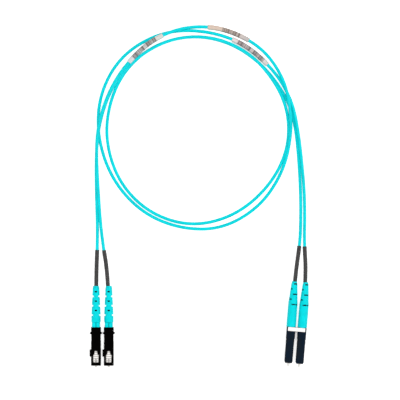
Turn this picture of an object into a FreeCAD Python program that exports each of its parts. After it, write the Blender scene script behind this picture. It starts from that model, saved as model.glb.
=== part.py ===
import FreeCAD, Part

import math
import os

# A duplex fibre patch cord, in millimetres, +Z up.
# One end is a duplex LC plug: two plug bodies held side by side by a white clip.
# The other end is a pair of loose MU plugs. Two thin cords join them and lie on the
# surface in a coil of one and a half turns.
#
# The duplex plug lies latches down, with its ferrules towards -Y. The origin is on the
# surface under its middle. Each plug is built on its own axis, which runs along Y from
# the plug's front face, and is then set in its place.

Vector = FreeCAD.Vector

# ---------------------------------------------------------------- sizes of the ferrules
ferrule_d = 1.25
ferrule_len = 6.5
ferrule_chamfer = 0.3
ferrule_seat_d = 0.9
fibre_hole_d = 0.25
flange_d = 3.0
flange_len = 2.0
flange_grip = 1.2
tail_tube_d = 1.1
tail_tube_len = 7.5
spring_wire = 0.3
spring_d = 2.1
spring_len = 6.4
spring_turns = 4
running_gap = 0.05
seat_gap = 0.05

# ---------------------------------------------------------------- sizes of the LC plug
plug_pitch = 6.25
lc_ferrule_out = 2.0
lc_size = 4.5
lc_corner = 0.6
lc_nose_len = 0.9
lc_nose_taper = 0.35
lc_shell_len = 13.6
lc_front_hole_d = 2.5
lc_bore_d = 3.2
lc_socket_size = 3.3
lc_socket_depth = 4.2
lc_window_len = 1.6
lc_window_height = 1.7
lc_window_back = 2.6
lc_rear_size = 4.8
lc_rear_len = 4.3
lc_neck_size = 3.5
lc_neck_len = 2.2
lc_neck_rail = 0.65
lc_tail_d = 2.9
lc_tail_len = 4.6
lc_spring_pocket_d = 2.7
fibre_bore_d = 1.5

# ---------------------------------------------------------------- latch and trigger
pivot_d = 0.9
latch_pivot_back = 1.7
latch_width = 2.8
latch_thick = 0.75
latch_reach = 11.0
latch_drop = 1.2
latch_shoulder_width = 4.1
latch_shoulder_back = 3.6
latch_shoulder_len = 2.2
latch_shoulder_height = 0.55
trigger_width = 3.2
trigger_thick = 0.8
trigger_reach = 5.4
trigger_pad_len = 0.7
trigger_gap = 0.15

# ---------------------------------------------------------------- clip, crimps and boots
clip_web = 1.3
clip_web_ahead = 4.1
clip_gap = 0.05
crimp_wall = 0.3
crimp_big_len = 4.2
crimp_small_len = 3.6
cord_d = 1.8
boot_bore_gap = 0.08
boot_mouth_len = 8.0
lc_boot_len = 25.5
lc_boot_front_d = 5.3
lc_boot_rear_d = 3.3
lc_boot_flare_len = 12.5
lc_boot_mouth_d = 2.9
lc_boot_turn = 25.0
lc_slot_pitch = 2.87
lc_slot_height = 0.75
lc_slot_first = 1.35
lc_slot_count = 5
boot_lip_len = 0.9
boot_lip_inset = 0.18
sleeve_d = 2.3
sleeve_out_len = 20.0
lc_sleeve_in_len = 13.6
mu_sleeve_in_len = 15.0
sleeve_wall = 0.22

# ---------------------------------------------------------------- sizes of the MU plug
mu_ferrule_out = 1.1
mu_width = 5.4
mu_height = 4.4
mu_corner = 0.35
mu_shell_len = 21.4
mu_side_wall = 0.36
mu_top_wall = 0.4
mu_rib_back = 3.2
mu_rib_len = 1.3
mu_rib_out_x = 0.7
mu_rib_out_z = 0.4
mu_grip_len = 3.9
mu_grip_relief = 0.1
mu_key_front = 5.0
mu_key_len = 4.0
mu_key_out = 0.85
mu_travel = 0.8
mu_window = [
    (1.3, 1.65),
    (1.6, 1.9),
    (1.64, 3.0),
    (1.54, 3.8),
    (1.64, 4.6),
    (1.62, 5.7),
    (1.3, 6.2),
    (0.95, 6.6),
    (0.92, 7.8),
    (0.75, 8.15),
    (0.4, 8.35),
]
mu_ear_reach = 1.9
mu_ear_front = 5.3
mu_ear_len = 0.6
mu_groove_width = 0.85
mu_groove_front = 1.9
mu_groove_len = 2.0
mu_groove_depth = 0.3
mu_frame_len = 12.8
mu_frame_front = 0.25
mu_front_hole_d = 2.5
mu_bore_d = 3.1
mu_plug_depth = 2.4
mu_rear_len = 5.4
mu_tail_d = 2.6
mu_tail_len = 4.6
mu_boot_len = 23.1
mu_boot_belly_d = 5.16
mu_boot_belly_at = 5.2
mu_boot_collar_len = 1.8
mu_boot_rear_d = 3.7
mu_boot_mouth_d = 3.1
mu_slot_pitch = 5.25
mu_slot_height = 1.0
mu_slot_first = 5.8
mu_slot_depth = 0.85
mu_oval_len = 1.4
mu_oval_height = 0.85
mu_oval_first = 3.15
mu_slot_count = 3

# ---------------------------------------------------------------- places of the plugs
label_len = 24.4
label_wall = 0.37
label_gap = 0.08
lc_total = lc_ferrule_out + lc_shell_len + lc_rear_len + lc_neck_len + lc_boot_len
lc_front_y = lc_ferrule_out - lc_total / 2
mu_axis_height = mu_height / 2 + mu_rib_out_z
mu_lean = 4.5
mu_front_a = (-110.12, -31.87)
mu_front_b = (-102.98, -31.31)


# ---------------------------------------------------------------- small helpers
def block(x0, x1, y0, y1, z0, z1):
    return Part.makeBox(x1 - x0, y1 - y0, z1 - z0, Vector(x0, y0, z0))


def rod(diameter, y0, y1, x=0.0, z=0.0):
    return Part.makeCylinder(diameter / 2, y1 - y0, Vector(x, y0, z), Vector(0, 1, 0))


def cross_rod(diameter, width, y, z):
    return Part.makeCylinder(diameter / 2, width, Vector(-width / 2, y, z), Vector(1, 0, 0))


def section(width, height, corner, y):
    """The outline of a square bar with its four corners cut off, across the plug at y."""
    a = width / 2
    b = height / 2
    c = corner
    right = [(a - c, -b), (a, c - b), (a, b - c), (a - c, b)]
    around = right + [(-x, z) for x, z in reversed(right)]
    points = [Vector(x, y, z) for x, z in around]
    return Part.makePolygon(points + points[:1])


def bar(width, height, corner, y0, y1):
    return Part.Face(section(width, height, corner, y0)).extrude(Vector(0, y1 - y0, 0))


def turned(profile):
    """A solid turned about the plug's axis, from (y, radius) corners."""
    points = [Vector(radius, y, 0) for y, radius in profile]
    face = Part.Face(Part.makePolygon(points + points[:1]))
    return face.revolve(Vector(0, 0, 0), Vector(0, 1, 0), 360)


def side_plate(outline, width):
    """A plate cut to a side outline of (y, z) corners, centred on the plug's axis."""
    points = [Vector(-width / 2, y, z) for y, z in outline]
    return Part.Face(Part.makePolygon(points + points[:1])).extrude(Vector(width, 0, 0))


def joined(first, others):
    return first.fuse(others).removeSplitter()


# ---------------------------------------------------------------- ferrule, flange, spring
def ferrule_parts(tip):
    """The zirconia ferrule, the metal flange it is pressed into, and the spring behind."""
    end = tip + ferrule_len
    front = end - flange_grip
    ferrule = turned(
        [
            (tip, fibre_hole_d / 2),
            (tip, ferrule_d / 2 - ferrule_chamfer),
            (tip + ferrule_chamfer, ferrule_d / 2),
            (front, ferrule_d / 2),
            (front, ferrule_seat_d / 2),
            (end, ferrule_seat_d / 2),
            (end, fibre_hole_d / 2),
        ]
    )
    back = front + flange_len
    flange = turned(
        [
            (front, ferrule_seat_d / 2),
            (front, flange_d / 2 - 0.3),
            (front + 0.3, flange_d / 2),
            (back, flange_d / 2),
            (back, tail_tube_d / 2),
            (back + tail_tube_len, tail_tube_d / 2),
            (back + tail_tube_len, fibre_hole_d),
            (end, fibre_hole_d),
            (end, ferrule_seat_d / 2),
        ]
    )
    pitch = (spring_len - spring_wire) / spring_turns
    coil = Part.makeHelix(pitch, pitch * spring_turns, spring_d / 2)
    start = Vector(spring_d / 2, 0, 0)
    half = spring_wire / 2
    square = [(-half, -half), (half, -half), (half, half), (-half, half), (-half, -half)]
    wire = Part.makePolygon([start + Vector(x, 0, z) for x, z in square])
    spring = Part.Wire(coil).makePipeShell([wire], True, True)
    spring.rotate(Vector(0, 0, 0), Vector(1, 0, 0), -90)
    spring.translate(Vector(0, back + seat_gap + half, 0))
    return ferrule, flange, spring


def spring_seat(tip):
    return tip + ferrule_len - flange_grip + flange_len + seat_gap + spring_len + seat_gap


# ---------------------------------------------------------------- the LC plug
def latch_pivot():
    return latch_pivot_back, -lc_size / 2 - 0.35


def latch_outer(back):
    """Height of the latch's outer face at a distance behind its pivot."""
    return latch_pivot()[1] - latch_thick / 2 - latch_drop * back / latch_reach


def trigger_pivot():
    return lc_shell_len + lc_rear_len - 1.0, -lc_rear_size / 2 - 0.3


def trigger_inner():
    """Height of the trigger's inner face where it passes under the end of the latch."""
    return latch_outer(latch_reach) - trigger_gap


def lc_shell():
    """The front housing: square outside, stepped inside for the ferrule's flange."""
    nose = lc_size - 2 * lc_nose_taper
    outlines = [
        section(nose, nose, lc_corner, 0),
        section(lc_size, lc_size, lc_corner, lc_nose_len),
        section(lc_size, lc_size, lc_corner, lc_shell_len),
    ]
    shell = Part.makeLoft(outlines, True, True)
    y, z = latch_pivot()
    ear_half = latch_width / 2 + 0.6
    ear = block(-ear_half, ear_half, y - 0.8, y + 0.8, z - 0.35, -lc_size / 2 + 0.2)
    shell = joined(shell, [ear])
    flange_front = ferrule_len - lc_ferrule_out - flange_grip
    socket = lc_socket_size / 2
    inner_start = lc_shell_len - lc_socket_depth
    root_half = latch_width / 2 + running_gap
    cuts = [
        rod(lc_front_hole_d, -1, flange_front),
        rod(lc_bore_d, flange_front - seat_gap, inner_start + 0.1),
        block(-socket, socket, inner_start, lc_shell_len + 1, -socket, socket),
        cross_rod(pivot_d + 2 * running_gap, 2 * root_half, y, z),
        block(-root_half, root_half, y, y + 2, z - 2, z + 0.35 + pivot_d / 2),
    ]
    window_y = lc_shell_len - lc_window_back
    half = lc_window_height / 2
    cuts.append(block(-lc_size, lc_size, window_y, window_y + lc_window_len, -half, half))
    return shell.cut(cuts[0].multiFuse(cuts[1:]))


def lc_latch():
    """The springy arm that hooks the plug into its socket, with a shoulder on each side."""
    y, z = latch_pivot()
    root = z + latch_thick / 2
    tip_y = y + latch_reach
    tip_z = root - latch_drop
    arm = side_plate(
        [
            (y, root),
            (tip_y, tip_z),
            (tip_y + 0.5, tip_z - latch_thick * 0.4),
            (tip_y + 0.3, tip_z - latch_thick),
            (y, root - latch_thick),
        ],
        latch_width,
    )
    shoulder_y = y + latch_shoulder_back
    level = root - latch_thick / 2 - latch_drop * (latch_shoulder_back + 1) / latch_reach
    shoulders = side_plate(
        [
            (shoulder_y - 1.3, level + 0.1),
            (shoulder_y + latch_shoulder_len, level + 0.1),
            (shoulder_y + latch_shoulder_len, level - latch_shoulder_height),
            (shoulder_y + 0.4, level - latch_shoulder_height),
        ],
        latch_shoulder_width,
    )
    return joined(cross_rod(pivot_d, latch_width, y, z), [arm, shoulders])


def lc_trigger():
    """The guard over the latch's end: it keeps cords from snagging and presses the latch."""
    y, z = trigger_pivot()
    tip_y = y - trigger_reach
    latch_y = latch_pivot()[0]
    pad = latch_outer(tip_y - latch_y) - trigger_gap
    inner = trigger_inner()
    outer = inner - trigger_thick
    latch_end = latch_y + latch_reach
    arm = side_plate(
        [
            (y, z + pivot_d / 2),
            (y - 1.6, z - 0.1),
            (latch_end + 1.2, inner),
            (tip_y + trigger_pad_len + 0.3, inner),
            (tip_y + trigger_pad_len, pad),
            (tip_y, pad),
            (tip_y - 0.5, pad - 0.3),
            (tip_y - 0.2, outer + 0.1),
            (tip_y + 0.4, outer),
            (latch_end + 0.9, outer),
            (y - 0.6, z - pivot_d / 2 - 0.1),
            (y, z - pivot_d / 2),
        ],
        trigger_width,
    )
    return joined(cross_rod(pivot_d, trigger_width, y, z), [arm])


def lc_rear(outer_side):
    """The rear body: plug and snap tabs in front, wide part, recessed neck, crimp tail."""
    start = lc_shell_len
    wide_end = start + lc_rear_len
    neck_end = wide_end + lc_neck_len
    size = lc_rear_size
    wide = bar(size, size, lc_corner, start, wide_end)
    plug_size = lc_socket_size - 2 * clip_gap
    plug = bar(plug_size, plug_size, 0.2, start - lc_socket_depth + 0.3, start)
    tab_y = start - lc_window_back + 0.05
    tab = side_plate(
        [
            (tab_y, lc_window_height / 2 - 0.1),
            (tab_y + lc_window_len - 0.1, lc_window_height / 2 - 0.1),
            (tab_y + lc_window_len - 0.1, 0.1 - lc_window_height / 2),
            (tab_y, 0.1 - lc_window_height / 2),
        ],
        lc_size + 0.2,
    )
    neck_half = lc_neck_size / 2
    neck = block(-neck_half, neck_half, wide_end, neck_end, -neck_half, neck_half)
    rail_in = size / 2 - lc_neck_rail
    rail = bar(size, size, lc_corner, wide_end, neck_end)
    if outer_side > 0:
        rail = rail.common(block(rail_in, size, 0, neck_end + 1, -size, size))
        bridge = block(0, rail_in + 0.1, wide_end, neck_end, -neck_half, neck_half)
    else:
        rail = rail.common(block(-size, -rail_in, 0, neck_end + 1, -size, size))
        bridge = block(-rail_in - 0.1, 0, wide_end, neck_end, -neck_half, neck_half)
    tail = rod(lc_tail_d, neck_end, neck_end + lc_tail_len)
    y, z = trigger_pivot()
    ear_half = trigger_width / 2 + 0.6
    root_half = trigger_width / 2 + running_gap
    ear = block(-ear_half, ear_half, y - 0.8, y + 0.8, z - 0.4, -size / 2 + 0.2)
    body = joined(wide, [plug, tab, neck, rail, bridge, tail, ear])
    seat = spring_seat(-lc_ferrule_out)
    cuts = [
        rod(lc_spring_pocket_d, 0, seat),
        rod(fibre_bore_d, 0, neck_end + lc_tail_len + 1),
        cross_rod(pivot_d + 2 * running_gap, 2 * root_half, y, z),
        block(-root_half, root_half, y - 2, y, z - 2, z + pivot_d / 2 + running_gap),
    ]
    return body.cut(cuts[0].multiFuse(cuts[1:]))


def crimp(tail_d, front):
    """The crimped metal sleeve that grips the plug's tail and the end of the cord."""
    step = front + crimp_big_len
    end = step + crimp_small_len
    inner_big = tail_d / 2 + 0.03
    inner_small = cord_d / 2 + 0.03
    return turned(
        [
            (front, inner_big),
            (front, inner_big + crimp_wall),
            (step, inner_big + crimp_wall),
            (step + 0.8, inner_small + crimp_wall),
            (end, inner_small + crimp_wall),
            (end, inner_small),
            (step + 0.8, inner_small),
            (step, inner_big),
        ]
    )


def boot_cavity(tail_d, front, end, mouth_d):
    """The inside of a boot: a chamber for the crimp, then a bore for the sleeved cord."""
    chamber = tail_d / 2 + crimp_wall + 0.1
    bore = sleeve_d / 2 + boot_bore_gap
    chamber_end = front + crimp_big_len + 1.6
    small = cord_d / 2 + crimp_wall + 0.12
    small_end = chamber_end + crimp_small_len
    return turned(
        [
            (front - 1, 0),
            (front - 1, chamber),
            (chamber_end, chamber),
            (chamber_end + 0.6, small),
            (small_end, small),
            (small_end + 0.1, bore),
            (end - boot_mouth_len, bore),
            (end + 0.1, mouth_d / 2),
            (end + 0.1, 0),
        ]
    )


def lc_boot_radius(back):
    """Outer radius of the LC boot at a distance ahead of its rear end."""
    share = min(1.0, back / lc_boot_flare_len)
    rear = lc_boot_rear_d / 2
    return rear + (lc_boot_front_d / 2 - rear) * share


def lc_boot():
    """The strain relief: a tapered moulding with slots cut from two sides in turn."""
    front = lc_shell_len + lc_rear_len + lc_neck_len
    end = front + lc_boot_len
    body = turned(
        [
            (front, 0),
            (front, lc_boot_front_d / 2 - 0.25),
            (front + 0.25, lc_boot_front_d / 2),
            (end - lc_boot_flare_len, lc_boot_front_d / 2 - 0.05),
            (end - boot_lip_len, lc_boot_rear_d / 2),
            (end - boot_lip_len, lc_boot_rear_d / 2 - boot_lip_inset),
            (end, lc_boot_rear_d / 2 - boot_lip_inset),
            (end, 0),
        ]
    )
    core = sleeve_d / 2 - 0.2
    cuts = [boot_cavity(lc_tail_d, front, end, lc_boot_mouth_d)]
    for number in range(lc_slot_count):
        back = lc_slot_first + number * lc_slot_pitch
        y = end - back
        radius = lc_boot_radius(back)
        reach = 0.52 * radius + 0.12 * number
        half = lc_slot_height / 2
        for side in (-1, 1):
            pocket = block(-reach, reach, y - half, y + half, core, core + 3)
            turn = 90 * (number % 2) + 90 * (1 - side) + lc_boot_turn
            pocket.rotate(Vector(0, 0, 0), Vector(0, 1, 0), turn)
            cuts.append(pocket)
    return body.cut(cuts[0].multiFuse(cuts[1:]))


def duplex_clip():
    """The white clip: a web between the two plugs and arms that hug both necks."""
    start = lc_shell_len + lc_rear_len
    half_size = lc_rear_size / 2
    web_top = half_size / 2
    rear = start + lc_neck_len - clip_gap
    web_half = clip_web / 2
    web = block(-web_half, web_half, start - clip_web_ahead, rear, -web_top, web_top)
    inner = plug_pitch / 2 - lc_neck_size / 2 - clip_gap
    spine = block(-inner, inner, start + clip_gap, rear, -half_size, half_size)
    arms = []
    reach = plug_pitch / 2 + half_size - lc_neck_rail - clip_gap
    neck = lc_neck_size / 2 + clip_gap
    for low, high in ((neck, half_size), (-half_size, -neck)):
        arms.append(block(-reach, reach, start + clip_gap, rear, low, high))
    return joined(web, [spine] + arms)


# ---------------------------------------------------------------- the MU plug
def mu_inner():
    """Width and height of the cavity that runs through the MU plug's outer housing."""
    return mu_width - 2 * mu_side_wall, mu_height - 2 * mu_top_wall


def window_prism():
    """The bottle-shaped window, cut right through both wide faces of the MU housing."""
    right = [Vector(half, y, -mu_height) for half, y in mu_window]
    left = [Vector(-half, y, -mu_height) for half, y in reversed(mu_window)]
    outline = Part.makePolygon(right + left + right[:1])
    bottle = Part.Face(outline).extrude(Vector(0, 0, 2 * mu_height))
    ear_end = mu_ear_front + mu_ear_len
    return bottle.fuse(block(0, mu_ear_reach, mu_ear_front, ear_end, -mu_height, mu_height))


def mu_shell():
    """The outer housing, which slides on the plug frame to push in and pull out."""
    shell = bar(mu_width, mu_height, mu_corner, 0, mu_shell_len)
    rib_y = mu_shell_len - mu_rib_back
    a = mu_width / 2
    b = mu_height / 2
    base = section(mu_width, mu_height, mu_corner, rib_y - mu_rib_len / 2)
    peak_front = section(mu_width + 2 * mu_rib_out_x, mu_height + 2 * mu_rib_out_z, mu_corner, rib_y - 0.2)
    peak_back = section(mu_width + 2 * mu_rib_out_x, mu_height + 2 * mu_rib_out_z, mu_corner, rib_y + 0.2)
    foot = section(mu_width, mu_height, mu_corner, rib_y + mu_rib_len / 2)
    rib = Part.makeLoft([base, peak_front, peak_back, foot], True, True)
    key = block(-a - mu_key_out, -a + 0.1, mu_key_front, mu_key_front + mu_key_len, -0.6, 0.6)
    shell = joined(shell, [rib, key])
    width, height = mu_inner()
    cuts = [bar(width, height, 0.15, -1, mu_shell_len + 1)]
    cuts.append(window_prism())
    grip_end = rib_y - mu_rib_len / 2
    grip_start = grip_end - mu_grip_len
    for side in (-1, 1):
        inner = a - mu_grip_relief
        low = min(side * inner, side * (a + 1))
        high = max(side * inner, side * (a + 1))
        cuts.append(block(low, high, grip_start, grip_end - 0.1, -b - 1, b + 1))
    return shell.cut(cuts[0].multiFuse(cuts[1:]))


def mu_frame():
    """The white plug frame inside, with a shallow groove along each wide face."""
    width, height = mu_inner()
    gap = running_gap + 0.05
    body = bar(width - 2 * gap, height - 2 * gap, 0.2, mu_frame_front, mu_frame_len)
    half = mu_groove_width / 2
    groove_end = mu_groove_front + mu_groove_len
    floor = height / 2 - gap - mu_groove_depth
    flange_front = ferrule_len - mu_ferrule_out - flange_grip
    cuts = [
        rod(mu_front_hole_d, -1, flange_front),
        rod(mu_bore_d, flange_front - seat_gap, mu_frame_len + 1),
        block(-half, half, mu_groove_front, groove_end, floor, mu_height),
        block(-half, half, mu_groove_front, groove_end, -mu_height, -floor),
    ]
    return body.cut(cuts[0].multiFuse(cuts[1:]))


def mu_rear():
    """The rear piece that closes the plug frame, seats the spring and takes the crimp."""
    width, height = mu_inner()
    gap = running_gap + 0.05
    end = mu_frame_len + mu_rear_len
    body = bar(width - 2 * gap, height - 2 * gap, 0.2, mu_frame_len + seat_gap, end)
    plug = rod(mu_bore_d - 2 * running_gap, mu_frame_len - mu_plug_depth, mu_frame_len + seat_gap)
    tail = rod(mu_tail_d, end, end + mu_tail_len)
    body = joined(body, [plug, tail])
    seat = spring_seat(-mu_ferrule_out)
    return body.cut(rod(lc_spring_pocket_d, 0, seat).fuse(rod(fibre_bore_d, 0, end + mu_tail_len + 1)))


def mu_boot():
    """The MU boot: a nose inside the housing, a collar, a belly and a slotted taper."""
    width, height = mu_inner()
    gap = running_gap + 0.05
    front = mu_frame_len + mu_rear_len + seat_gap
    collar_end = mu_shell_len + mu_travel + mu_boot_collar_len
    end = mu_shell_len + mu_boot_len
    belly = mu_boot_belly_d / 2
    rear = mu_boot_rear_d / 2
    nose = bar(width - 2 * gap, height - 2 * gap, 0.6, front, collar_end + 0.2)
    body = turned(
        [
            (collar_end, 0),
            (collar_end, belly - 0.5),
            (collar_end + 0.5, belly),
            (mu_shell_len + mu_boot_belly_at + 1.6, belly),
            (end - boot_lip_len, rear),
            (end - boot_lip_len, rear - boot_lip_inset),
            (end, rear - boot_lip_inset),
            (end, 0),
        ]
    )
    cuts = [boot_cavity(mu_tail_d, front, end, mu_boot_mouth_d)]
    for number in range(mu_slot_count):
        notch_back = mu_slot_first + number * mu_slot_pitch
        notch_y = end - notch_back
        notch_r = rear + (belly - rear) * min(1.0, notch_back / (mu_boot_len - mu_boot_belly_at - 1.6))
        half = mu_slot_height / 2
        for side in (-1, 1):
            near = side * (notch_r - mu_slot_depth)
            far = side * (notch_r + 1)
            cuts.append(block(min(near, far), max(near, far), notch_y - half, notch_y + half, -4, 4))
        oval_y = end - mu_oval_first - number * mu_slot_pitch
        core = sleeve_d / 2 - 0.3
        for low in (core, -core - 3):
            a = mu_oval_len / 2
            b = mu_oval_height / 2
            cuts.append(block(b - a, a - b, oval_y - b, oval_y + b, low, low + 3))
            for x in (b - a, a - b):
                cuts.append(Part.makeCylinder(b, 3, Vector(x, oval_y, low), Vector(0, 0, 1)))
    return joined(nose, [body]).cut(cuts[0].multiFuse(cuts[1:]))


# ---------------------------------------------------------------- places
lc_axis_height = trigger_thick - trigger_inner()


def place_lc(shape, side):
    shape.translate(Vector(side * plug_pitch / 2, lc_front_y, lc_axis_height))
    return shape


def place_mu(shape, front):
    shape.rotate(Vector(0, 0, 0), Vector(0, 0, 1), mu_lean)
    shape.translate(Vector(front[0], front[1], mu_axis_height))
    return shape


def mu_point(front, back):
    """The point on an MU plug's axis at a distance behind its front face."""
    lean = math.radians(mu_lean)
    return (front[0] - back * math.sin(lean), front[1] + back * math.cos(lean), mu_axis_height)


# ---------------------------------------------------------------- the cords' routes
loop_x = -66.6
loop_y = 105.5
cord_corner_out = 3.5


def station(bearing, radius, height):
    """A route point round the coil: degrees clockwise from its -X side, radius, height."""
    turn = math.radians(bearing)
    return (loop_x - radius * math.cos(turn), loop_y + radius * math.sin(turn), height)


def lc_lead(side):
    """The cord's start inside the crimp and its first corner, both on the plug's axis."""
    tail_end = lc_front_y + lc_shell_len + lc_rear_len + lc_neck_len + lc_tail_len
    boot_end = lc_front_y + lc_total - lc_ferrule_out
    x = side * plug_pitch / 2
    return [(x, tail_end + 0.1, lc_axis_height), (x, boot_end + cord_corner_out, lc_axis_height)]


def mu_lead(front):
    """The cord's last corner behind the MU boot and its end inside the crimp."""
    tail_end = mu_frame_len + mu_rear_len + mu_tail_len
    boot_end = mu_shell_len + mu_boot_len
    return [mu_point(front, boot_end + cord_corner_out), mu_point(front, tail_end + 0.1)]


cord_a_lay = [
    (-2.0, 52, 2.0),
    (-4.4, 80, 0.9),
    station(174, 57.3, 0.9),
    station(157, 54.8, 0.9),
    station(135, 52.6, 0.9),
    station(110, 52.2, 0.9),
    station(85, 52.2, 0.9),
    station(60, 51.6, 0.9),
    station(35, 50.6, 0.9),
    station(10, 49.4, 0.9),
    station(-15, 50.0, 0.9),
    station(-42, 52.0, 0.9),
    station(-68, 54.0, 0.9),
    station(-94, 55.4, 0.9),
    station(-120, 54.4, 0.9),
    station(-146, 53.6, 0.9),
    station(-170, 54.3, 0.9),
    station(168, 54.0, 1.2),
    station(147, 52.7, 2.85),
    station(122, 52.6, 2.85),
    station(97, 52.3, 2.85),
    station(72, 51.8, 2.85),
    station(47, 50.9, 2.85),
    station(25, 51.2, 2.85),
    station(5, 52.0, 2.85),
    station(-13, 55.0, 2.85),
    (-118.4, 70, 1.1),
    (-115.1, 42, 1.0),
]
cord_b_lay = [
    (0.05, 52, 2.7),
    (-2.6, 80, 2.85),
    station(174, 58.2, 2.85),
    station(157, 56.9, 1.2),
    station(137, 55.3, 1.5),
    station(113, 55.3, 1.5),
    station(88, 55.2, 1.1),
    station(65, 56.8, 0.9),
    station(40, 57.5, 0.9),
    station(15, 56.1, 0.9),
    station(-10, 54.2, 0.9),
    station(-37, 54.3, 0.9),
    station(-63, 55.8, 0.9),
    station(-87, 57.4, 0.9),
    station(-110, 59.4, 0.9),
    station(-134, 58.2, 0.9),
    station(-157, 56.2, 1.4),
    station(-178, 54.8, 3.1),
    station(163, 55.5, 3.4),
    station(145, 57.7, 3.0),
    station(125, 59.2, 1.5),
    station(103, 58.4, 1.5),
    station(83, 57.5, 3.0),
    station(63, 56.0, 3.5),
    station(44, 52.8, 4.2),
    station(25, 51.9, 4.7),
    station(5, 52.4, 4.8),
    station(-13, 55.2, 4.7),
    (-117.5, 69, 3.0),
    (-112.6, 41, 1.7),
]
routes = {
    "cord_a": lc_lead(-1) + cord_a_lay + mu_lead(mu_front_a),
    "cord_b": lc_lead(1) + cord_b_lay + mu_lead(mu_front_b),
}


def route_edges(points):
    """Straight runs joined by tangent arcs, each arc as large as its two runs allow."""
    corners = [Vector(*p) for p in points]
    edges = []
    radii = []
    last = corners[0]
    for before, corner, after in zip(corners, corners[1:], corners[2:]):
        back = before - corner
        ahead = after - corner
        trim = 0.45 * min(back.Length, ahead.Length)
        turn = math.pi - back.getAngle(ahead)
        radius = trim / math.tan(turn / 2)
        start = corner + back.normalize() * trim
        end = corner + ahead.normalize() * trim
        to_centre = (back + ahead).normalize()
        middle = corner + to_centre * (radius / math.cos(turn / 2) - radius)
        edges.append(Part.LineSegment(last, start).toShape())
        edges.append(Part.Arc(start, middle, end).toShape())
        radii.append(radius)
        last = end
    edges.append(Part.LineSegment(last, corners[-1]).toShape())
    return edges, radii


def swept(edges, diameter):
    """A round rod along a chain of edges."""
    start = edges[0].valueAt(edges[0].FirstParameter)
    along = edges[0].tangentAt(edges[0].FirstParameter)
    ring = Part.Wire(Part.makeCircle(diameter / 2, start, along))
    return Part.Wire(edges).makePipeShell([ring], True, False)


def stretch(edges, start, length):
    """The part of a chain of edges between start and start + length along it."""
    kept = []
    walked = 0.0
    for edge in edges:
        size = edge.Length
        first = max(start - walked, 0.0)
        last = min(start + length - walked, size)
        if last - first > 0.01:
            curve = edge.Curve
            a = edge.getParameterByLength(first)
            b = edge.getParameterByLength(last)
            kept.append(curve.toShape(a, b))
        walked += size
    return kept


def tube_on(edges, start, length, gap, wall):
    """A sleeve round the cord, over a stretch of its route."""
    path = stretch(edges, start, length)
    outer = swept(path, cord_d + 2 * gap + 2 * wall)
    longer = swept(path, cord_d + 2 * gap)
    return outer.cut(longer)


# ---------------------------------------------------------------- build and write
os.makedirs("parts", exist_ok=True)
nodes = {}

sides = {"a": -1, "b": 1}
mu_fronts = {"a": mu_front_a, "b": mu_front_b}
for letter, side in sides.items():
    ferrule, flange, spring = ferrule_parts(-lc_ferrule_out)
    crimp_front = lc_shell_len + lc_rear_len + lc_neck_len + 0.5
    pieces = {
        "lc_housing": lc_shell(),
        "lc_latch": lc_latch(),
        "lc_trigger": lc_trigger(),
        "lc_rear_body": lc_rear(side),
        "lc_ferrule": ferrule,
        "lc_flange": flange,
        "lc_spring": spring,
        "lc_crimp": crimp(lc_tail_d, crimp_front),
        "lc_boot": lc_boot(),
    }
    for name, shape in pieces.items():
        nodes[name + "_" + letter] = place_lc(shape, side)

    front = mu_fronts[letter]
    ferrule, flange, spring = ferrule_parts(-mu_ferrule_out)
    crimp_front = mu_frame_len + mu_rear_len + 0.5
    pieces = {
        "mu_housing": mu_shell(),
        "mu_plug_frame": mu_frame(),
        "mu_rear_body": mu_rear(),
        "mu_ferrule": ferrule,
        "mu_flange": flange,
        "mu_spring": spring,
        "mu_crimp": crimp(mu_tail_d, crimp_front),
        "mu_boot": mu_boot(),
    }
    for name, shape in pieces.items():
        nodes[name + "_" + letter] = place_mu(shape, front)

clip = duplex_clip()
clip.translate(Vector(0, lc_front_y, lc_axis_height))
nodes["duplex_clip"] = clip

chains = {}
lengths = {}
for name, points in routes.items():
    edges, radii = route_edges(points)
    chains[name] = edges
    lengths[name] = sum(edge.Length for edge in edges)
    cord = swept(edges, cord_d)
    nodes[name] = cord
    round_area = math.pi * cord_d**2 / 4
    print(name, "length", round(lengths[name], 1), "radii", [round(r) for r in radii])
    print(name, "volume", round(cord.Volume, 2), "section x length", round(round_area * lengths[name], 2))

lc_hidden = lc_boot_len - lc_tail_len - 0.1
mu_hidden = mu_shell_len + mu_boot_len - (mu_frame_len + mu_rear_len + mu_tail_len) - 0.1
for letter in sides:
    name = "cord_" + letter
    edges = chains[name]
    gap = sleeve_d / 2 - sleeve_wall - cord_d / 2
    near = lc_hidden - lc_sleeve_in_len
    near_len = lc_sleeve_in_len + sleeve_out_len
    far = lengths[name] - mu_hidden - sleeve_out_len
    far_len = mu_sleeve_in_len + sleeve_out_len
    nodes["lc_cord_sleeve_" + letter] = tube_on(edges, near, near_len, gap, sleeve_wall)
    nodes["mu_cord_sleeve_" + letter] = tube_on(edges, far, far_len, gap, sleeve_wall)

label_starts = {"label_1": ("cord_b", 562.0), "label_2": ("cord_b", 510.0), "label_3": ("cord_b", 147.5)}
for name, (cord_name, start) in label_starts.items():
    nodes[name] = tube_on(chains[cord_name], start, label_len, label_gap, label_wall)

for name, shape in nodes.items():
    shape.exportStep("parts/" + name + ".step")
print(len(nodes), "nodes")
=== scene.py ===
import math

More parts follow.
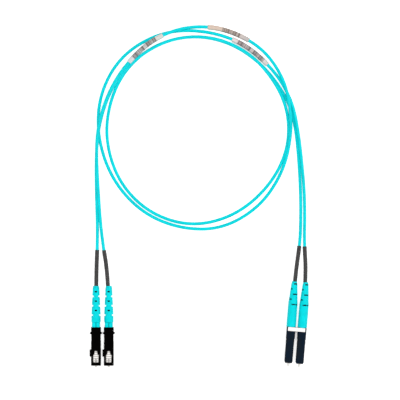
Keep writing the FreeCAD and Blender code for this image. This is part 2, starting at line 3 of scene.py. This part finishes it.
import bpy
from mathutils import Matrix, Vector


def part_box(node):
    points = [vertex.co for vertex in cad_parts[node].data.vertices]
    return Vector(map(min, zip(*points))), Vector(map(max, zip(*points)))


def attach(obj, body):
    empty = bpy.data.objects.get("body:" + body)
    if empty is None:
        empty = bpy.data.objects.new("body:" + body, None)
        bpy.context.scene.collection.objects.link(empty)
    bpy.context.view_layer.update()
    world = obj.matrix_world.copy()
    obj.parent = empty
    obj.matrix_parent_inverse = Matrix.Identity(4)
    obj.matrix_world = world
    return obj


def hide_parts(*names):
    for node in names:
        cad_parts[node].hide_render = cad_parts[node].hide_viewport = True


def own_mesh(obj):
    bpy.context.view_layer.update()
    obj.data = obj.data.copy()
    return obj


# A duplex fibre patch cord that lies coiled on a white table, seen from straight above.
# Everything is in metres, in the CAD model's own frame.
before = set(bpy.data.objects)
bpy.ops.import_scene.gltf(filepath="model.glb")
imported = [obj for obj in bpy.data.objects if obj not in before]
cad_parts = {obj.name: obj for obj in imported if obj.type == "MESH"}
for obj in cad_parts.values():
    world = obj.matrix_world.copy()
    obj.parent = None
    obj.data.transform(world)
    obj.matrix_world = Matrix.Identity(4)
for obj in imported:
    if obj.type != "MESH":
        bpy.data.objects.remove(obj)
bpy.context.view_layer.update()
collection = bpy.context.scene.collection


# ---------------------------------------------------------------- camera
# It looks straight down on the middle of the coil and the plugs. It is turned by the
# lean of the loose plugs, so that they stand upright in its view.
loose_plug_lean = math.radians(4.5)
camera = bpy.data.objects.new("camera", bpy.data.cameras.new("camera"))
collection.objects.link(camera)
camera.data.sensor_width = 36
camera.data.lens = 257
camera.data.clip_start = 0.01
camera.location = (-0.0594, 0.0650, 1.6)
camera.rotation_euler = (0, 0, loose_plug_lean)
bpy.context.scene.camera = camera


# ---------------------------------------------------------------- the two cords
# Each cord is glass fibre and yarn in an extruded aqua PVC jacket. It runs straight out
# of its boot, round the coil one and a half times and straight into the other plug's boot.
cord_diameter = 0.0018
cord_length = {"a": 0.7048, "b": 0.7402}
half_pitch = 0.003125
plug_height = 0.005125
coil_x, coil_y = -0.0661, 0.1050


def station(bearing, radius, height):
    """A point round the coil: degrees clockwise from its -X side, radius and height."""
    turn = math.radians(bearing)
    return (coil_x - radius * math.cos(turn), coil_y + radius * math.sin(turn), height)


routes = {
    "jacketed_cord_a": [
        (-half_pitch, 0.003, plug_height),
        (-half_pitch, 0.0273, plug_height),
        (-0.00175, 0.045, 0.0030),
        (-0.00235, 0.060, 0.0016),
        (-0.0042, 0.080, 0.0009),
        station(174, 0.0573, 0.0009),
        station(157, 0.0548, 0.0009),
        station(135, 0.0526, 0.0009),
        station(110, 0.0522, 0.0009),
        station(85, 0.0522, 0.0009),
        station(60, 0.0516, 0.0009),
        station(35, 0.0506, 0.0009),
        station(10, 0.0494, 0.0009),
        station(-15, 0.0500, 0.0009),
        station(-42, 0.0520, 0.0009),
        station(-68, 0.0540, 0.0009),
        station(-94, 0.0554, 0.0009),
        station(-120, 0.0544, 0.0009),
        station(-146, 0.0536, 0.0009),
        station(-170, 0.0543, 0.0009),
        station(168, 0.0540, 0.0012),
        station(147, 0.0527, 0.00285),
        station(122, 0.0526, 0.00285),
        station(97, 0.0523, 0.00285),
        station(72, 0.0518, 0.00285),
        station(47, 0.0509, 0.00285),
        station(25, 0.0512, 0.00285),
        station(5, 0.0520, 0.00285),
        station(-13, 0.0550, 0.00285),
        (-0.1182, 0.070, 0.0011),
        (-0.1150, 0.042, 0.0010),
        (-0.113886, 0.015982, 0.0026),
        (-0.111917, -0.009041, 0.0026),
    ],
    "jacketed_cord_b": [
        (half_pitch, 0.003, plug_height),
        (half_pitch, 0.0273, plug_height),
        (0.00055, 0.046, 0.0034),
        (-0.0003, 0.062, 0.0027),
        (-0.0023, 0.080, 0.00285),
        station(174, 0.0582, 0.00285),
        station(157, 0.0569, 0.0012),
        station(137, 0.0553, 0.0015),
        station(113, 0.0553, 0.0015),
        station(88, 0.0552, 0.0011),
        station(65, 0.0568, 0.0009),
        station(40, 0.0575, 0.0009),
        station(15, 0.0561, 0.0009),
        station(-10, 0.0542, 0.0009),
        station(-37, 0.0543, 0.0009),
        station(-63, 0.0558, 0.0009),
        station(-87, 0.0571, 0.0009),
        station(-110, 0.0589, 0.0009),
        station(-134, 0.0578, 0.0009),
        station(-157, 0.0559, 0.0014),
        station(-178, 0.0548, 0.0031),
        station(163, 0.0555, 0.0034),
        station(145, 0.0577, 0.003),
        station(125, 0.0592, 0.0015),
        station(103, 0.0584, 0.0015),
        station(83, 0.0571, 0.0030),
        station(63, 0.0549, 0.0037),
        station(44, 0.0522, 0.0047),
        station(25, 0.0515, 0.0048),
        station(5, 0.0524, 0.0048),
        station(-13, 0.0552, 0.0047),
        (-0.1171, 0.069, 0.0030),
        (-0.1129, 0.041, 0.0017),
        (-0.106746, 0.016542, 0.0026),
        (-0.104777, -0.008481, 0.0026),
    ],
}


def colour(code):
    """Linear colour of an sRGB hex code."""
    values = [int(code[i : i + 2], 16) / 255 for i in (0, 2, 4)]
    linear = [v / 12.92 if v <= 0.04045 else ((v + 0.055) / 1.055) ** 2.4 for v in values]
    return (*linear, 1)


def add(tree, kind, inputs, **settings):
    """A node with its settings, and the values or sockets that go into it.

    A colour mix has its share at input 0 and its two colours at inputs 6 and 7.
    """
    made = tree.nodes.new(kind)
    for name, value in settings.items():
        setattr(made, name, value)
    for name, value in inputs.items():
        if isinstance(value, bpy.types.NodeSocket):
            tree.links.new(value, made.inputs[name])
        else:
            made.inputs[name].default_value = value
    return made


def start_material(name):
    """A new material with a shader, and object coordinates in millimetres."""
    made = bpy.data.materials.new(name)
    made.use_nodes = True
    tree = made.node_tree
    shader = tree.nodes["Principled BSDF"]
    place = add(tree, "ShaderNodeTexCoord", {})
    enlarged = {"Vector": place.outputs["Object"], "Scale": (1000, 1000, 1000)}
    mm = add(tree, "ShaderNodeMapping", enlarged)
    return made, tree, shader, mm.outputs[0]


def moulded(name, main, shade, gloss, specular, patch_mm, grain_mm, depth, edge):
    """Plastic or rubber: patches of shade, grain in gloss and height, softened edges.

    The patches and the grain are as wide as patch_mm and grain_mm say. Depth is the
    grain's height, and edge is the radius of the softened edges, both in metres.
    """
    made, tree, shader, mm = start_material(name)
    patches = {"Vector": mm, "Scale": 1 / patch_mm, "Detail": 3.0, "Roughness": 0.6}
    broad = add(tree, "ShaderNodeTexNoise", patches)
    spread = {"Value": broad.outputs[0], "From Min": 0.3, "From Max": 0.7}
    share = add(tree, "ShaderNodeMapRange", spread)
    tones = {0: share.outputs[0], 6: colour(main), 7: colour(shade)}
    tone = add(tree, "ShaderNodeMix", tones, data_type="RGBA")
    grain = {"Vector": mm, "Scale": 1 / grain_mm, "Detail": 4.0, "Roughness": 0.65}
    fine = add(tree, "ShaderNodeTexNoise", grain)
    spread = {"Value": fine.outputs[0], "From Min": 0.25, "From Max": 0.75}
    around_gloss = {"To Min": gloss - 0.06, "To Max": gloss + 0.1}
    rough = add(tree, "ShaderNodeMapRange", {**spread, **around_gloss})
    soft = add(tree, "ShaderNodeBevel", {"Radius": edge}, samples=4)
    relief = {"Height": fine.outputs[0], "Strength": 0.6, "Distance": depth}
    bump = add(tree, "ShaderNodeBump", {**relief, "Normal": soft.outputs[0]})
    tree.links.new(tone.outputs[2], shader.inputs["Base Color"])
    tree.links.new(rough.outputs[0], shader.inputs["Roughness"])
    tree.links.new(bump.outputs[0], shader.inputs["Normal"])
    shader.inputs["Specular IOR Level"].default_value = specular
    return made


# Extruded PVC: smooth and half matt, a little uneven in shade along its length.
jacket = moulded(
    "aqua_extruded_jacket", main="08DBE2", shade="04CDD4", gloss=0.42, specular=0.12,
    patch_mm=8.333, grain_mm=0.2, depth=0.000006, edge=0.0001,
)
paths = {}
for name, points in routes.items():
    letter = name[-1]
    data = bpy.data.curves.new(name, "CURVE")
    data.dimensions = "3D"
    line = data.splines.new("NURBS")
    line.points.add(len(points) - 1)
    for point, place in zip(line.points, points):
        point.co = (*place, 1)
        point.radius = cord_diameter / 2
    line.order_u = 3
    line.use_endpoint_u = True
    line.resolution_u = 14
    cord = bpy.data.objects.new(name, data)
    collection.objects.link(cord)
    # The line itself, before it gets its thickness, is the path of what is threaded on it.
    bare = bpy.data.meshes.new_from_object(cord)
    paths[letter] = [vertex.co.copy() for vertex in bare.vertices]
    bpy.data.meshes.remove(bare)
    # Each point's own radius sets the thickness, so the depth that multiplies it is one.
    data.bevel_depth = 1.0
    data.bevel_resolution = 6
    data.use_fill_caps = True
    data.materials.append(jacket)
    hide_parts("cord_" + letter)
    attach(cord, "patch_cord")


# ---------------------------------------------------------------- heat-shrink sleeves
# A dark grey polyolefin tube is shrunk on each cord where it leaves a boot. It grips the
# cord, follows its bends and has a slightly rippled skin.
def tube_on(name, path, start, profile):
    """A tube round a cord, from (distance, radius) rings that begin at start along it."""
    around = 28
    walked = [0.0]
    for one, other in zip(path, path[1:]):
        walked.append(walked[-1] + (other - one).length)
    vertices = []
    leg = 0
    for distance, radius in profile:
        # Go on to the leg of the path that this ring lies in.
        while leg < len(path) - 2 and walked[leg + 1] < start + distance:
            leg += 1
        share = (start + distance - walked[leg]) / (walked[leg + 1] - walked[leg])
        middle = path[leg].lerp(path[leg + 1], share)
        before = path[max(leg - 1, 0)]
        after = path[min(leg + 2, len(path) - 1)]
        along = (after - before).normalized()
        across = along.cross(Vector((0, 0, 1))).normalized()
        up = across.cross(along)
        for step in range(around):
            angle = 2 * math.pi * step / around
            outward = math.cos(angle) * across + math.sin(angle) * up
            vertices.append(middle + radius * outward)
    faces = []
    for ring in range(len(profile) - 1):
        for step in range(around):
            after = (step + 1) % around
            low = ring * around
            high = low + around
            faces.append((low + step, low + after, high + after, high + step))
    mesh = bpy.data.meshes.new(name)
    mesh.from_pydata(vertices, [], faces)
    mesh.validate()
    # The skin laid flat, in millimetres: U runs along the tube and V round it.
    flat = mesh.uv_layers.new(name="millimetres")
    for face in mesh.polygons:
        face.use_smooth = True
        last_column = max(index % around for index in face.vertices) == around - 1
        for corner, index in zip(face.loop_indices, face.vertices):
            distance, radius = profile[index // around]
            step = index % around
            if step == 0 and last_column:
                step = around
            arc = radius * 2 * math.pi * step / around
            flat.data[corner].uv = (1000 * distance, 1000 * arc)
    tube = bpy.data.objects.new(name, mesh)
    collection.objects.link(tube)
    return tube


def length_of(path):
    """The length of a path of points."""
    return sum((other - one).length for one, other in zip(path, path[1:]))


def tube_profile(length, radius, wall, ripple):
    """Rings of a thin tube: a rounded lip at each end, and a slight ripple between."""
    inner = radius - wall
    turned_in = 0.0003
    lip = wall * 0.5
    bevel = lip * 0.3
    rings = [(turned_in, inner), (0.0, inner), (0.0, radius - lip)]
    rings += [(bevel, radius - bevel), (lip, radius)]
    ring_spacing = 0.0005
    count = int(length / ring_spacing)
    for number in range(1, count):
        distance = lip + (length - 2 * lip) * number / count
        # Two waves that never fall into step keep the ripple from repeating.
        swell = math.sin(number * 0.83) * math.sin(number * 0.31 + 1)
        rings.append((distance, radius - ripple * (0.5 + 0.5 * swell)))
    rings += [(length - lip, radius), (length - bevel, radius - bevel)]
    rings += [(length, radius - lip), (length, inner), (length - turned_in, inner)]
    return rings


def paint_shade_in_hollows(material, dark, reach, low, high):
    """Paint shade into the colour: blend a dark tone in where the surface lies in a slot or
    corner.

    Openness within reach, in metres, counts as shut below low and as open above high.
    """
    tree = material.node_tree
    base = tree.nodes["Principled BSDF"].inputs["Base Color"]
    shelter = add(tree, "ShaderNodeAmbientOcclusion", {"Distance": reach}, samples=8)
    openness = {"Value": shelter.outputs["AO"], "From Min": low, "From Max": high}
    open_air = add(tree, "ShaderNodeMapRange", openness)
    tones = {0: open_air.outputs[0], 6: colour(dark), 7: base.links[0].from_socket}
    tone = add(tree, "ShaderNodeMix", tones, data_type="RGBA")
    tree.links.new(tone.outputs[2], base)


# Shrunk polyolefin: dark, matt and a little rippled, with faint cloudy patches.
shrink = moulded(
    "shrunk_polyolefin", main="434242", shade="333232", gloss=0.55, specular=0.2,
    patch_mm=1.4286, grain_mm=0.25, depth=0.00002, edge=0.0001,
)
# Painted shade: the sleeve turns dark teal where it lies in the boots' slots and other
# sheltered places.
paint_shade_in_hollows(shrink, "031214", reach=0.0009, low=0.45, high=0.8)

# Each sleeve begins so far from the cord's LC end, inside that boot, or so far before its
# MU end, and the two lengths reach the same distance out of the boots.
sleeve_radius = 0.00115
sleeve_wall = 0.00022
ripple_depth = 0.00002
lc_sleeve_start, lc_sleeve_length = 0.0072, 0.0336
mu_sleeve_start, mu_sleeve_length = 0.04175, 0.0350
sleeves = {}
for letter in "ab":
    path = paths[letter]
    at_lc = tube_profile(lc_sleeve_length, sleeve_radius, sleeve_wall, ripple_depth)
    at_mu = tube_profile(mu_sleeve_length, sleeve_radius, sleeve_wall, ripple_depth)
    sleeves[letter] = [
        tube_on("heat_shrink_lc_" + letter, path, lc_sleeve_start, at_lc),
        tube_on("heat_shrink_mu_" + letter, path, length_of(path) - mu_sleeve_start, at_mu),
    ]
    for end, sleeve in zip(("lc", "mu"), sleeves[letter]):
        sleeve.data.materials.append(shrink)
        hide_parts(f"{end}_cord_sleeve_{letter}")
        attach(sleeve, "patch_cord")


# ---------------------------------------------------------------- label tubes
# Three loose tubes of printed polyester film are threaded on cord b. The print is plain
# bars of mixed width, closer in some stretches than in others, and the ends are bare.

# Real print is finer than these bars. They are as wide as they need to be to show.
bar_mm = 1.0526
stretch_mm = 3.333
cloud_mm = 2.857
crease_mm = 0.3333
print_edge_mm = 0.3


def printed_film(name, near, far, ink, first, last):
    """Film from one colour to another along the tube, printed between two distances in mm."""
    made, tree, shader, mm = start_material(name)
    flat = add(tree, "ShaderNodeUVMap", {}, uv_map="millimetres")
    along = add(tree, "ShaderNodeSeparateXYZ", {0: flat.outputs[0]}).outputs["X"]

    # Bars along the tube, and stretches in which a pale print fills what is between them.
    # Each label starts elsewhere in the pattern, so no two are alike.
    elsewhere = add(tree, "ShaderNodeMath", {0: along, 1: 3.0 * last}, operation="ADD")
    narrow = {"W": elsewhere.outputs[0], "Scale": 1 / bar_mm, "Detail": 1.0}
    bars = add(tree, "ShaderNodeTexNoise", narrow, noise_dimensions="1D")
    sharp = {"Value": bars.outputs[0], "From Min": 0.47, "From Max": 0.53, "To Max": 0.85}
    dark = add(tree, "ShaderNodeMapRange", sharp)
    wide = {"W": elsewhere.outputs[0], "Scale": 1 / stretch_mm, "Detail": 0.0}
    stretches = add(tree, "ShaderNodeTexNoise", wide, noise_dimensions="1D")
    gentle = {"Value": stretches.outputs[0], "From Min": 0.35, "From Max": 0.6}
    pale_print = add(tree, "ShaderNodeMapRange", {**gentle, "To Min": 0.25, "To Max": 0.6})
    either = {0: dark.outputs[0], 1: pale_print.outputs[0]}
    dense = add(tree, "ShaderNodeMath", either, operation="MAXIMUM")

    # The print lies between first and last, and its two edges are soft.
    in_from = {"Value": along, "From Min": first, "From Max": first + print_edge_mm}
    begins = add(tree, "ShaderNodeMapRange", in_from)
    out_from = {"Value": along, "From Min": last, "From Max": last + print_edge_mm}
    ends = add(tree, "ShaderNodeMapRange", {**out_from, "To Min": 1.0, "To Max": 0.0})
    both = {0: begins.outputs[0], 1: ends.outputs[0]}
    middle = add(tree, "ShaderNodeMath", both, operation="MULTIPLY")
    inked = {0: dense.outputs[0], 1: middle.outputs[0]}
    cover = add(tree, "ShaderNodeMath", inked, operation="MULTIPLY")

    # The ground goes from the near colour to the far one, with clouds that push the place
    # of each shade up to 4 mm along the tube.
    clouds = {"Vector": mm, "Scale": 1 / cloud_mm, "Detail": 2.0}
    uneven = add(tree, "ShaderNodeTexNoise", clouds)
    shifted = {0: uneven.outputs[0], 1: 4.0, 2: along}
    wavy = add(tree, "ShaderNodeMath", shifted, operation="MULTIPLY_ADD")
    fading = {"Value": wavy.outputs[0], "From Min": 4.0, "From Max": 21.0}
    fade = add(tree, "ShaderNodeMapRange", fading)
    grounds = {0: fade.outputs[0], 6: colour(near), 7: colour(far)}
    pale = add(tree, "ShaderNodeMix", grounds, data_type="RGBA")
    tones = {0: cover.outputs[0], 6: pale.outputs[2], 7: colour(ink)}
    tone = add(tree, "ShaderNodeMix", tones, data_type="RGBA")

    # Fine creases, in height and in gloss.
    creases = {"Vector": mm, "Scale": 1 / crease_mm, "Detail": 3.0}
    crease = add(tree, "ShaderNodeTexNoise", creases)
    relief = {"Height": crease.outputs[0], "Strength": 0.5, "Distance": 0.00001}
    bump = add(tree, "ShaderNodeBump", relief)
    glosses = {"Value": crease.outputs[0], "To Min": 0.35, "To Max": 0.55}
    gloss = add(tree, "ShaderNodeMapRange", glosses)
    tree.links.new(tone.outputs[2], shader.inputs["Base Color"])
    tree.links.new(gloss.outputs[0], shader.inputs["Roughness"])
    tree.links.new(bump.outputs[0], shader.inputs["Normal"])
    shader.inputs["Specular IOR Level"].default_value = 0.2
    return made


# Printed polyester film: half glossy, creased and handled, greyer or warmer in each tube.
# Each start is measured along the cord's full length, of which the drawn line is a share.
drawn_share = length_of(paths["b"]) / cord_length["b"]
label_length = 0.0244
label_radius = 0.00135
label_wall = 0.00037
for number, start, film in (
    (1, 0.5636, printed_film("printed_film_grey", "D3D0C9", "D1D0D3", "524944", 4.3, 21.0)),
    (2, 0.5131, printed_film("printed_film_tan", "BFB8B5", "D3BDAE", "6A5C54", 5.5, 16.0)),
    (3, 0.1481, printed_film("printed_film_rose", "D7CDC9", "DFD0CF", "504646", 3.0, 21.0)),
):
    profile = tube_profile(label_length, label_radius, label_wall, ripple=0.00003)
    tube = tube_on(f"printed_tube_{number}", paths["b"], start * drawn_share, profile)
    tube.data.materials.append(film)
    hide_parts(f"label_{number}")
    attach(tube, "patch_cord")


# ---------------------------------------------------------------- LC plugs
# The square plugs of the duplex end, with latch, trigger and rear body, are injection
# moulded in blue-black PBT with polished faces.
def dress(material, *parts):
    """Put a finish on the material slots of both copies of each CAD part."""
    for part in parts:
        for letter in "ab":
            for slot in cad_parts[f"{part}_{letter}"].material_slots:
                slot.material = material


# Polished moulded PBT: dark with a blue cast and soft broad highlights.
lc_black = moulded(
    "glossy_black_pbt", main="05182A", shade="141A20", gloss=0.38, specular=0.05,
    patch_mm=5.0, grain_mm=0.0714, depth=0.000004, edge=0.00012,
)
dress(lc_black, "lc_housing", "lc_latch", "lc_trigger", "lc_rear_body")


# ---------------------------------------------------------------- duplex clip
# One white PBT moulding with arms round both necks and a web between the plugs.
# Painted shade darkens the web, where the plugs stand close on both sides.

# Moulded white PBT: half matt, and light goes half a millimetre into it, which softens
# its edges.
white = moulded(
    "moulded_white_pbt", main="FAF9F6", shade="EFEDEA", gloss=0.42, specular=0.4,
    patch_mm=1.6667, grain_mm=0.1, depth=0.000004, edge=0.0001,
)
white_shader = white.node_tree.nodes["Principled BSDF"]
white_shader.inputs["Subsurface Weight"].default_value = 0.05
white_shader.inputs["Subsurface Radius"].default_value = (0.0006, 0.0005, 0.0004)
# Painted shade: a grey tone on the web and in other sheltered places on the clip.
paint_shade_in_hollows(white, "8E8D90", reach=0.003, low=0.35, high=0.85)
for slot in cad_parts["duplex_clip"].material_slots:
    slot.material = white


# ---------------------------------------------------------------- MU plugs
# Each loose plug has a black sliding housing of moulded PBT, matt and nearly neutral.
# The white frame inside shows through its window, with ribs across the moulding.

# Satin moulded PBT: nearly neutral black, with dull highlights only.
mu_black = moulded(
    "satin_black_pbt", main="020101", shade="040303", gloss=0.45, specular=0.01,
    patch_mm=2.5, grain_mm=0.0833, depth=0.000004, edge=0.0001,
)
dress(mu_black, "mu_housing", "mu_rear_body")


def wave_scale(pitch_mm):
    """The scale that gives a wave texture this pitch: at scale 1 it is a tenth of pi."""
    return math.pi / 10 / pitch_mm


# Ribbed white PBT: half matt, with painted shade as grey lines between the ribs and at its
# sheltered edges.
rib_pitch_mm = 1.1636
frame_white = moulded(
    "ribbed_white_pbt", main="F4F2EF", shade="E6E3E0", gloss=0.42, specular=0.3,
    patch_mm=1.6667, grain_mm=0.1, depth=0.000004, edge=0.0001,
)
ribbed_tree = frame_white.node_tree
ribbed_base = ribbed_tree.nodes["Principled BSDF"].inputs["Base Color"]
place = add(ribbed_tree, "ShaderNodeTexCoord", {})
turned = {"Rotation": (0, 0, -loose_plug_lean), "Scale": (1000, 1000, 1000)}
straight = add(ribbed_tree, "ShaderNodeMapping", {"Vector": place.outputs["Object"], **turned})
# Painted shade: grey lines across the frame where shade lies between its ribs.
across = {"Scale": wave_scale(rib_pitch_mm), "Distortion": 0.3}
bands = {"Vector": straight.outputs[0], **across}
ribs = add(ribbed_tree, "ShaderNodeTexWave", bands, bands_direction="Y")
rib_shade_range = {"Value": ribs.outputs["Fac"], "From Min": 0.55, "From Max": 0.9}
rib_shade = add(ribbed_tree, "ShaderNodeMapRange", rib_shade_range)
tones = {0: rib_shade.outputs[0], 6: ribbed_base.links[0].from_socket, 7: colour("B6B1AD")}
ribbed = add(ribbed_tree, "ShaderNodeMix", tones, data_type="RGBA")
ribbed_tree.links.new(ribbed.outputs[2], ribbed_base)
# More painted shade: dark edges where the housing's walls stand close over the frame.
paint_shade_in_hollows(frame_white, "2E2A28", reach=0.001, low=0.48, high=0.86)
dress(frame_white, "mu_plug_frame")


# ---------------------------------------------------------------- ferrules
# A ferrule is a rod of ground and polished zirconia ceramic, hard, white and glossy. The
# fibre's polished end shows as a tiny glass disc in the middle of its tip.

# Polished zirconia: dense white under a clear gloss, with small sharp highlights.
ceramic = moulded(
    "polished_zirconia", main="E2E0DB", shade="D8D5D0", gloss=0.14, specular=0.6,
    patch_mm=3.333, grain_mm=0.05, depth=0.000001, edge=0.00004,
)
ceramic.node_tree.nodes["Principled BSDF"].inputs["Coat Weight"].default_value = 0.3
dress(ceramic, "lc_ferrule", "mu_ferrule")

# Polished silica glass: a dark, smooth and shiny spot.
glass = moulded(
    "polished_fibre_glass", main="5A6672", shade="4B5661", gloss=0.1, specular=0.7,
    patch_mm=0.3333, grain_mm=0.0333, depth=0.0000005, edge=0.00001,
)
# The disc fills the mouth of the ferrule's bore, just behind the tip's face, with its rim
# bevelled back. Bore and disc are twice as wide as the real fibre of 0.125 mm.
ferrule_radius = 0.000625
disc_radius, disc_depth = 0.0001, 0.00002
rim_radius, rim_depth = 0.00012, 0.00004
corners = 16
end_lean = {"lc": 0.0, "mu": loose_plug_lean}
for end, lean in end_lean.items():
    along = Vector((-math.sin(lean), math.cos(lean), 0))
    across = Vector((math.cos(lean), math.sin(lean), 0))
    for letter in "ab":
        low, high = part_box(f"{end}_ferrule_{letter}")
        tip_x = high.x - ferrule_radius * math.cos(lean)
        tip = Vector((tip_x, low.y + ferrule_radius * math.sin(lean), (low.z + high.z) / 2))
        vertices = []
        for back, radius in ((rim_depth, rim_radius), (disc_depth, disc_radius)):
            for step in range(corners):
                angle = 2 * math.pi * step / corners
                side = across * math.cos(angle) + Vector((0, 0, 1)) * math.sin(angle)
                vertices.append(tip + along * back + side * radius)
        vertices.append(tip + along * disc_depth)
        faces = []
        for step in range(corners):
            after = (step + 1) % corners
            faces.append((step, after, corners + after, corners + step))
            faces.append((corners + step, corners + after, 2 * corners))
        mesh = bpy.data.meshes.new(f"fibre_end_{end}_{letter}")
        mesh.from_pydata(vertices, [], faces)
        mesh.validate()
        mesh.materials.append(glass)
        disc = bpy.data.objects.new(mesh.name, mesh)
        collection.objects.link(disc)
        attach(disc, f"{end}_ferrule_unit_{letter}")


# ---------------------------------------------------------------- metal parts
# Behind each ferrule sit a turned, nickel-plated brass flange, a coiled stainless spring
# and a drawn aluminium crimp sleeve. All keep fine rings from their making.
def turned_metal(name, main, shade, gloss, ring_mm):
    """Machined or drawn metal: fine rings of gloss round it, and slight staining.

    The rings are ring_mm apart.
    """
    stain_mm = 1.25
    made, tree, shader, mm = start_material(name)
    stains = {"Vector": mm, "Scale": 1 / stain_mm, "Detail": 3.0}
    broad = add(tree, "ShaderNodeTexNoise", stains)
    tones = {0: broad.outputs[0], 6: colour(main), 7: colour(shade)}
    tone = add(tree, "ShaderNodeMix", tones, data_type="RGBA")
    tool_marks = {"Vector": mm, "Scale": wave_scale(ring_mm), "Distortion": 1.5, "Detail": 2.0}
    line = add(tree, "ShaderNodeTexWave", tool_marks, bands_direction="Y")
    height = line.outputs["Fac"]
    around_gloss = {"Value": height, "To Min": gloss - 0.05, "To Max": gloss + 0.12}
    rough = add(tree, "ShaderNodeMapRange", around_gloss)
    relief = {"Height": height, "Strength": 0.4, "Distance": 0.000003}
    bump = add(tree, "ShaderNodeBump", relief)
    tree.links.new(tone.outputs[2], shader.inputs["Base Color"])
    tree.links.new(rough.outputs[0], shader.inputs["Roughness"])
    tree.links.new(bump.outputs[0], shader.inputs["Normal"])
    shader.inputs["Metallic"].default_value = 1.0
    return made


# Turned brass under nickel: bright and a little warm, with fine tool rings.
plated_brass = turned_metal(
    "turned_nickel_plated_brass", main="C9C6BE", shade="B7B2A6", gloss=0.25, ring_mm=0.0785,
)
dress(plated_brass, "lc_flange", "mu_flange")

# Drawn aluminium: paler and duller, with coarser rings.
aluminium = turned_metal(
    "drawn_aluminium", main="CFCDC8", shade="BDBAB3", gloss=0.35, ring_mm=0.1047,
)
dress(aluminium, "lc_crimp", "mu_crimp")

# Drawn stainless spring wire: cool grey, with the finest lines of the three.
spring_steel = turned_metal(
    "drawn_stainless_wire", main="B4B5B6", shade="9FA0A2", gloss=0.3, ring_mm=0.0349,
)

# A spring seats on the rear body, and in the real plug it shortens as its ferrule and flange
# slide back. Each one here is a copy of the CAD spring, fixed to the patch cord.
for end, lean in end_lean.items():
    for letter in "ab":
        node = f"{end}_spring_{letter}"
        low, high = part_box(node)
        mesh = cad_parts[node].data.copy()
        coil = bpy.data.objects.new(f"coil_spring_{end}_{letter}", mesh)
        collection.objects.link(coil)
        coil.data.materials.clear()
        coil.data.materials.append(spring_steel)
        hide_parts(node)
        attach(coil, "patch_cord")
        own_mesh(coil)


# ---------------------------------------------------------------- bend boots
# The boots are moulded in soft aqua PVC and pushed over the crimps. Slots and notches
# cut through them let them bend.

# Soft moulded PVC: half matt and even in tone, with painted shade in dark teal deep in the
# slots.
boot = moulded(
    "aqua_moulded_pvc", main="00DCE2", shade="00CED5", gloss=0.48, specular=0.12,
    patch_mm=2.857, grain_mm=0.1111, depth=0.000008, edge=0.00015,
)
# Painted shade: a dark teal tone in the slots and notches, where shade falls.
paint_shade_in_hollows(boot, "00464F", reach=0.0008, low=0.35, high=0.75)
dress(boot, "lc_boot", "mu_boot")


# ---------------------------------------------------------------- table top
# A plain white paper sheet lies under everything. It takes the soft shadows of the cords
# and plugs, and is lifted to full white for the eye alone.
def seen_by_eye(tree):
    """One for what the camera sees, itself or in a reflection or through glass, else nought."""
    ray = add(tree, "ShaderNodeLightPath", {})
    direct = {0: ray.outputs["Is Camera Ray"], 1: ray.outputs["Is Glossy Ray"]}
    mirrored = add(tree, "ShaderNodeMath", direct, operation="MAXIMUM")
    both = {0: mirrored.outputs[0], 1: ray.outputs["Is Transmission Ray"]}
    return add(tree, "ShaderNodeMath", both, operation="MAXIMUM").outputs[0]


reach = 3
clearance = 0.0001
sheet = bpy.data.meshes.new("table_top")
corner_points = [(-reach, -reach, 0), (reach, -reach, 0), (reach, reach, 0), (-reach, reach, 0)]
sheet.from_pydata(corner_points, [], [(0, 1, 2, 3)])
table = bpy.data.objects.new("table_top", sheet)
table.location = (0, 0, -clearance)
collection.objects.link(table)

# Coated paper: matt white with hardly any clouding. The clouds of its pulp are drawn
# 50 mm wide, so that they show at all.
paper, paper_tree, paper_shader, paper_mm = start_material("coated_white_paper")
pulp_mm = 50
clouds = {"Vector": paper_mm, "Scale": 1 / pulp_mm, "Detail": 2.0}
pulp = add(paper_tree, "ShaderNodeTexNoise", clouds)
whites = {0: pulp.outputs[0], 6: colour("FFFFFF"), 7: colour("FDFDFD")}
tone = add(paper_tree, "ShaderNodeMix", whites, data_type="RGBA")
paper_tree.links.new(tone.outputs[2], paper_shader.inputs["Base Color"])
lift_strength = 0.42
glow = {0: seen_by_eye(paper_tree), 1: lift_strength}
lift = add(paper_tree, "ShaderNodeMath", glow, operation="MULTIPLY")
paper_tree.links.new(lift.outputs[0], paper_shader.inputs["Emission Strength"])
paper_shader.inputs["Emission Color"].default_value = (1, 1, 1, 1)
paper_shader.inputs["Roughness"].default_value = 0.9
paper_shader.inputs["Specular IOR Level"].default_value = 0.0
sheet.materials.append(paper)


# ---------------------------------------------------------------- light
# Even white light from all round and from a large panel above, with smaller soft panels
# at the right, left and front, so that the left sides fall off a little.
world = bpy.data.worlds.new("studio")
bpy.context.scene.world = world
world.use_nodes = True
sky_tree = world.node_tree
background = sky_tree.nodes["Background"]
# The sky lights the part with a fifth of the white that the eye sees.
strengths = {"Value": seen_by_eye(sky_tree), "To Min": 0.2, "To Max": 1.0}
level = add(sky_tree, "ShaderNodeMapRange", strengths)
sky_tree.links.new(level.outputs[0], background.inputs["Strength"])
background.inputs["Color"].default_value = (1, 1, 1, 1)

middle_of_part = Vector((-0.06, 0.06, 0))
for name, place, size, power, shines in (
    ("panel_above", (-0.06, 0.07, 1.9), 0.8, 25.0, False),
    ("panel_right", (0.75, 0.35, 0.85), 0.9, 4.5, True),
    ("panel_left", (-0.95, 0.1, 0.8), 0.8, 1.6, True),
    ("panel_front", (-0.1, -0.9, 0.9), 0.8, 1.05, True),
):
    lamp = bpy.data.lights.new(name, "AREA")
    lamp.shape = "SQUARE"
    lamp.size = size
    lamp.energy = power
    holder = bpy.data.objects.new(name, lamp)
    holder.location = place
    holder.visible_glossy = shines
    aim = middle_of_part - Vector(place)
    holder.rotation_euler = aim.to_track_quat("-Z", "Y").to_euler()
    collection.objects.link(holder)

bpy.context.scene.view_settings.view_transform = "Standard"
